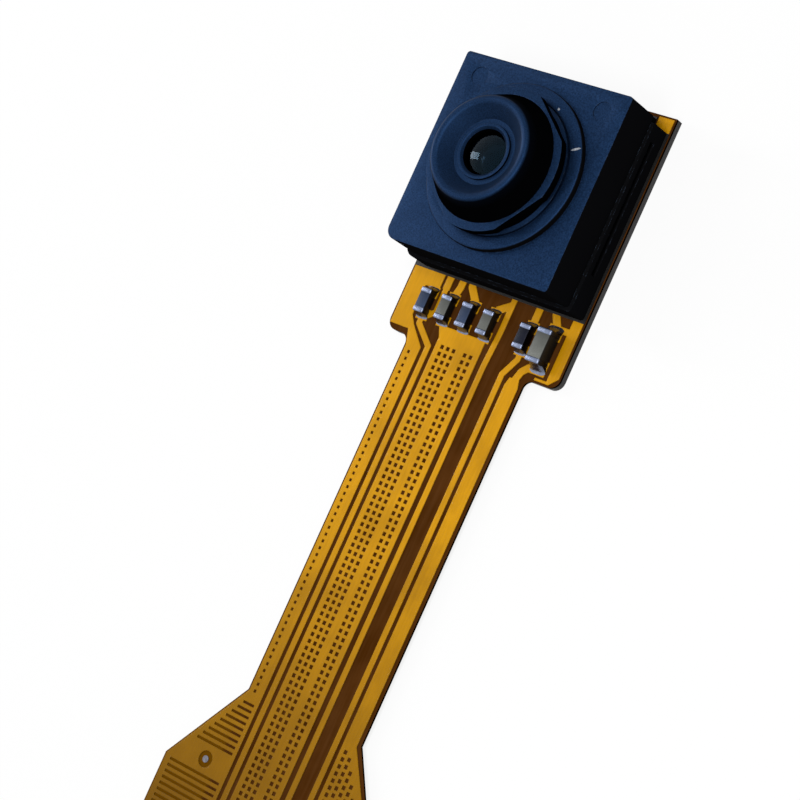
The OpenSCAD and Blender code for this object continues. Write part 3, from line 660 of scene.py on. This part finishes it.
class MakeLenses(bpy.types.Operator):
    """Makes the front lens and gives the lenses, stop, spacer and retainer their finishes"""

    bl_idname = "camera_module.make_lenses"
    bl_label = "Make lenses"

    def execute(self, context):
        s = context.scene.camera_module_lenses
        low, high = box_mm("front_lens")
        eye_r, bulge, step = 0.955, 0.2, 0.2
        lens_r = high.x
        base_z = high.z - bulge
        arc_steps = 14

        def arc(half, rise, z):
            """Points of a spherical cap of a given half width and rise, from its rim to its middle."""
            ball_r = (half * half + rise * rise) / (2 * rise)
            points = []
            for i in range(arc_steps + 1):
                r = half * (1 - i / arc_steps)
                points.append((r, z + math.sqrt(ball_r * ball_r - r * r) - (ball_r - rise)))
            return points

        dome = arc(eye_r, bulge, base_z)
        hollow = arc(s.hollow_r, s.hollow_depth, low.z)
        step_z = base_z - step
        outline = [*dome[::-1], (eye_r, step_z), (lens_r, step_z), (lens_r, low.z), *hollow]
        mesh = bmesh.new()
        turned(mesh, outline[::-1], 128)
        front = glass_finish("coated_front_glass", s.glass_colour, 1.33, (0.20, 0.45, 0.70))
        make_piece("front_lens_glass", mesh, front, ["front_lens"])
        inner = glass_finish("coated_inner_glass", (0.02, 0.05, 0.04), 1.2, (0.20, 0.90, 0.50))
        dress(inner, "middle_lens", "rear_lens")
        shim = dull_finish("black_shim", (0.004, 0.004, 0.005), 20.0, 0.7)
        dress(shim, "aperture_stop", "lens_spacer", "lens_retainer")
        return {"FINISHED"}


class DressSensor(bpy.types.Operator):
    """Gives the sensor package and the infrared filter their finishes"""

    bl_idname = "camera_module.dress_sensor"
    bl_label = "Dress sensor"

    def execute(self, context):
        dress(silicon_finish("sensor_silicon"), "sensor_die")
        dress(glass_finish("filter_glass", (0.20, 0.34, 0.30), 1.2), "infrared_filter", "sensor_cover_glass")
        dress(metal_finish("ball_solder", (0.62, 0.66, 0.72), 0.3, 0.002, 8.0), "sensor_solder_balls")
        return {"FINISHED"}


class MakeChips(bpy.types.Operator):
    """Makes the ceramic bodies of the chip components"""

    bl_idname = "camera_module.make_chips"
    bl_label = "Make chips"

    def execute(self, context):
        s = context.scene.camera_module_chips
        blue = ceramic_finish("blue_ceramic", s.blue_colour)
        tan = ceramic_finish("tan_ceramic", s.tan_colour)
        ferrite = ceramic_finish("dark_ferrite", s.ferrite_colour)
        finishes = {"blue_ceramic": blue, "tan_ceramic": tan, "dark_ferrite": ferrite}
        slots = {row["node"]: row["material_slot"] for row in frame["record"]["subparts"]}
        for node in CHIPS:
            low, high = box_mm(node)
            mesh = bmesh.new()
            block(mesh, low, high, s.body_edge_r)
            make_piece(node + "_body", mesh, finishes[slots[node]], [node])
        return {"FINISHED"}


class MakeEndCaps(bpy.types.Operator):
    """Makes the tinned ends of the chip components"""

    bl_idname = "camera_module.make_end_caps"
    bl_label = "Make end caps"

    def execute(self, context):
        s = context.scene.camera_module_chips
        plating = 0.02
        mesh = bmesh.new()
        for node in CHIPS:
            low, high = box_mm(node)
            grow = Vector((plating, plating, plating))
            low, high = low - grow, high + grow
            for near, far in ((low.y, low.y + s.cap_length), (high.y - s.cap_length, high.y)):
                block(mesh, (low.x, near, low.z), (high.x, far, high.z), s.cap_edge_r, segments=4)
        # Walls of the tinned ends keep 5% of their colour as painted shade.
        surface = metal_finish("bright_tin", s.tin_colour, 0.28, 0.006, 7.0, 0.05)
        make_piece("tinned_ends", mesh, surface, ["chip_end_caps"])
        return {"FINISHED"}


class MakeSolder(bpy.types.Operator):
    """Makes the hollow solder fillets round the ends of the chip components"""

    bl_idname = "camera_module.make_solder"
    bl_label = "Make solder"

    def execute(self, context):
        s = context.scene.camera_module_chips
        foot_z = box_mm("solder_fillets")[0].z
        mesh = bmesh.new()
        for node in CHIPS:
            low, high = box_mm(node)
            reach = s.large_reach if node == "bulk_capacitor" else s.small_reach
            for side in (-1, 1):
                self.fillet(mesh, low, high, side, foot_z, reach, s.solder_rise * (high.z - low.z))
        bmesh.ops.recalc_face_normals(mesh, faces=mesh.faces)
        # Walls of the solder keep 12% of their colour as painted shade.
        surface = metal_finish("bright_solder", s.solder_colour, 0.14, 0.012, 6.0, 0.12)
        make_piece("solder_joints", mesh, surface, ["solder_fillets"])
        return {"FINISHED"}

    def fillet(self, mesh, low, high, side, foot_z, reach, rise):
        """A hollow slope from a chip's end down to the film, with a round foot."""
        plating, inset, flare, foot = 0.02, 0.02, 0.12, 0.012
        middle = (low.x + high.x) / 2
        half = (high.x - low.x) / 2 + plating
        end_y = (high.y + plating - inset) if side > 0 else (low.y - plating + inset)
        slope = bmesh.ops.create_grid(mesh, x_segments=12, y_segments=10, size=0.5)["verts"]
        for v in slope:
            across, out = 2 * v.co.x, v.co.y + 0.5
            round_off = across**4
            height = rise * (1 - out) ** 1.9 * (1 - 0.35 * round_off) + foot
            v.co = Vector((
                middle + across * half * (1 + flare * out),
                end_y + side * (inset + reach) * out * (1 - 0.3 * round_off),
                foot_z + height,
            )) * MM
        rim = list({e for v in slope for e in v.link_edges if len(e.link_faces) == 1})
        made = bmesh.ops.extrude_edge_only(mesh, edges=rim)["geom"]
        for v in made:
            if isinstance(v, bmesh.types.BMVert):
                v.co.z = foot_z * MM
        bmesh.ops.contextual_create(mesh, geom=[e for e in made if isinstance(e, bmesh.types.BMEdge)])


class MakeGlueDabs(bpy.types.Operator):
    """Makes the two dabs of glue that lock the focusing thread"""

    bl_idname = "camera_module.make_glue_dabs"
    bl_label = "Make glue dabs"

    def execute(self, context):
        collar_z = box_mm("focus_lock_adhesive")[0].z
        mesh = bmesh.new()
        for angle, near, far, width in ((64, 3.12, 3.24, 0.06), (27, 3.10, 3.54, 0.05)):
            turn = Matrix.Rotation(math.radians(angle), 4, "Z")
            place = Matrix.Translation(((near + far) / 2 * MM, 0, collar_z * MM))
            shape = Matrix.Diagonal(((far - near) / 2 * MM, width * MM, 0.05 * MM, 1.0))
            made = bmesh.ops.create_icosphere(mesh, subdivisions=4, radius=1.0, matrix=turn @ place @ shape)
            for v in made["verts"]:
                wobble = math.sin(v.co.x / MM * 19) * math.cos(v.co.y / MM * 23)
                v.co.z += 0.012 * MM * wobble
        make_piece("glue_dabs", mesh, glue_finish("milky_glue"), ["focus_lock_adhesive"])
        return {"FINISHED"}


# ---------- stage ----------


class SetStage(bpy.types.Operator):
    """Sets the camera, the lamps, the sky and the floor"""

    bl_idname = "camera_module.set_stage"
    bl_label = "Set stage"

    def execute(self, context):
        s = context.scene.camera_module_stage
        scene = context.scene
        data = bpy.data.cameras.new("module_camera")
        data.lens = s.camera_lens
        data.sensor_width = 36.0
        data.clip_start = 0.005
        data.clip_end = 10.0
        camera = bpy.data.objects.new("module_camera", data)
        camera.location = Vector(s.camera_place) * MM
        camera.rotation_euler = Euler([math.radians(a) for a in s.camera_turn])
        scene.collection.objects.link(camera)
        scene.camera = camera
        scene.view_settings.view_transform = "Standard"

        above_right, below_it = (55.0, -30.0, 195.0), (55.0, 0.0, 0.0)
        self.lamp("key_lamp", above_right, below_it, 50.0, 150.0, s.key_power)
        far_left, strip_head = (-125.0, 2.5, 60.0), (0.0, -5.0, 0.0)
        self.lamp("glare_panel", far_left, strip_head, 24.0, 110.0, s.glare_power)
        self.sky(scene, s.sky_level)
        self.floor(s.floor_colour)
        return {"FINISHED"}

    def lamp(self, name, place, target, width, height, power):
        """A rectangular lamp that faces the target."""
        data = bpy.data.lights.new(name, "AREA")
        data.shape = "RECTANGLE"
        data.size = width * MM
        data.size_y = height * MM
        data.energy = power
        lamp = bpy.data.objects.new(name, data)
        lamp.location = Vector(place) * MM
        lamp.rotation_euler = (Vector(target) - Vector(place)).to_track_quat("-Z", "Y").to_euler()
        bpy.context.scene.collection.objects.link(lamp)

    def sky(self, scene, level):
        """Even light from all round, seen as white by the camera and in reflections."""
        world = bpy.data.worlds.new("studio_sky")
        scene.world = world
        world.use_nodes = True
        nodes, links = world.node_tree.nodes, world.node_tree.links
        nodes.clear()
        path = nodes.new("ShaderNodeLightPath")
        seen = nodes.new("ShaderNodeMath")
        seen.operation = "MAXIMUM"
        links.new(path.outputs["Is Camera Ray"], seen.inputs[0])
        links.new(path.outputs["Is Transmission Ray"], seen.inputs[1])
        either = nodes.new("ShaderNodeMath")
        either.operation = "MAXIMUM"
        links.new(seen.outputs[0], either.inputs[0])
        links.new(path.outputs["Is Glossy Ray"], either.inputs[1])
        strength = nodes.new("ShaderNodeMapRange")
        strength.inputs["To Min"].default_value = level
        strength.inputs["To Max"].default_value = 1.0
        links.new(either.outputs[0], strength.inputs["Value"])
        background = nodes.new("ShaderNodeBackground")
        background.inputs["Color"].default_value = (1.0, 1.0, 1.0, 1.0)
        links.new(strength.outputs[0], background.inputs["Strength"])
        output = nodes.new("ShaderNodeOutputWorld")
        links.new(background.outputs[0], output.inputs["Surface"])

    def floor(self, colour):
        """A pale floor just under the module."""
        mesh = bmesh.new()
        side = 3000.0
        under = -0.02
        bmesh.ops.create_grid(mesh, x_segments=8, y_segments=8, size=side / 2 * MM,
                              matrix=Matrix.Translation((0, 0, under * MM)))
        data = bpy.data.meshes.new("studio_floor")
        mesh.to_mesh(data)
        mesh.free()
        finish = Finish("pale_floor")
        grain = finish.noise(0.05, 2.0)
        path = finish.add("LightPath")
        seen = finish.combine("MAXIMUM", path.outputs["Is Camera Ray"], path.outputs["Is Glossy Ray"])
        seen = finish.combine("MAXIMUM", seen, path.outputs["Is Transmission Ray"])
        pale = finish.blend(finish.remap(grain, 0.3, 0.7), [0.98 * c for c in colour], colour)
        shaded = (0.32, 0.32, 0.32)
        whiteness = 0.86
        base = finish.blend(seen, shaded, pale)
        matt = finish.add("BsdfDiffuse", {"Color": base})
        white = finish.add("Emission", {"Color": (1.0, 1.0, 1.0), "Strength": 1.0})
        factor = finish.combine("MULTIPLY", seen, whiteness)
        mixed = finish.add("MixShader", {0: factor, 1: matt.outputs[0], 2: white.outputs[0]})
        output = finish.add("OutputMaterial")
        finish.links.new(mixed.outputs[0], output.inputs["Surface"])
        data.materials.append(finish.material)
        floor = bpy.data.objects.new("studio_floor", data)
        bpy.context.scene.collection.objects.link(floor)


# ---------- panel and registration ----------

OPERATORS = (
    SetStage, DressCircuit, MakeHolder, MakeBarrel, MakeLenses, DressSensor, MakeChips, MakeEndCaps,
    MakeSolder, MakeGlueDabs,
)


class CameraModulePanel(bpy.types.Panel):
    """Lists the steps that build the camera module"""

    bl_idname = "VIEW3D_PT_camera_module"
    bl_label = "Camera Module"
    bl_space_type = "VIEW_3D"
    bl_region_type = "UI"
    bl_category = "Camera Module"

    def draw(self, context):
        for operator in OPERATORS:
            self.layout.operator(operator.bl_idname)


def register():
    for settings in SETTINGS.values():
        bpy.utils.register_class(settings)
    for name, settings in SETTINGS.items():
        setattr(bpy.types.Scene, name, PointerProperty(type=settings))
    for operator in OPERATORS:
        bpy.utils.register_class(operator)
    bpy.utils.register_class(CameraModulePanel)


def unregister():
    bpy.utils.unregister_class(CameraModulePanel)
    for operator in reversed(OPERATORS):
        bpy.utils.unregister_class(operator)
    for name in SETTINGS:
        delattr(bpy.types.Scene, name)
    for settings in reversed(list(SETTINGS.values())):
        bpy.utils.unregister_class(settings)


def main():
    """Builds the module."""
    register()
    bpy.ops.camera_module.set_stage()
    bpy.ops.camera_module.dress_circuit()
    bpy.ops.camera_module.make_holder()
    bpy.ops.camera_module.make_barrel()
    bpy.ops.camera_module.make_lenses()
    bpy.ops.camera_module.dress_sensor()
    bpy.ops.camera_module.make_chips()
    bpy.ops.camera_module.make_end_caps()
    bpy.ops.camera_module.make_solder()
    bpy.ops.camera_module.make_glue_dabs()


if __name__ == "__main__":
    main()
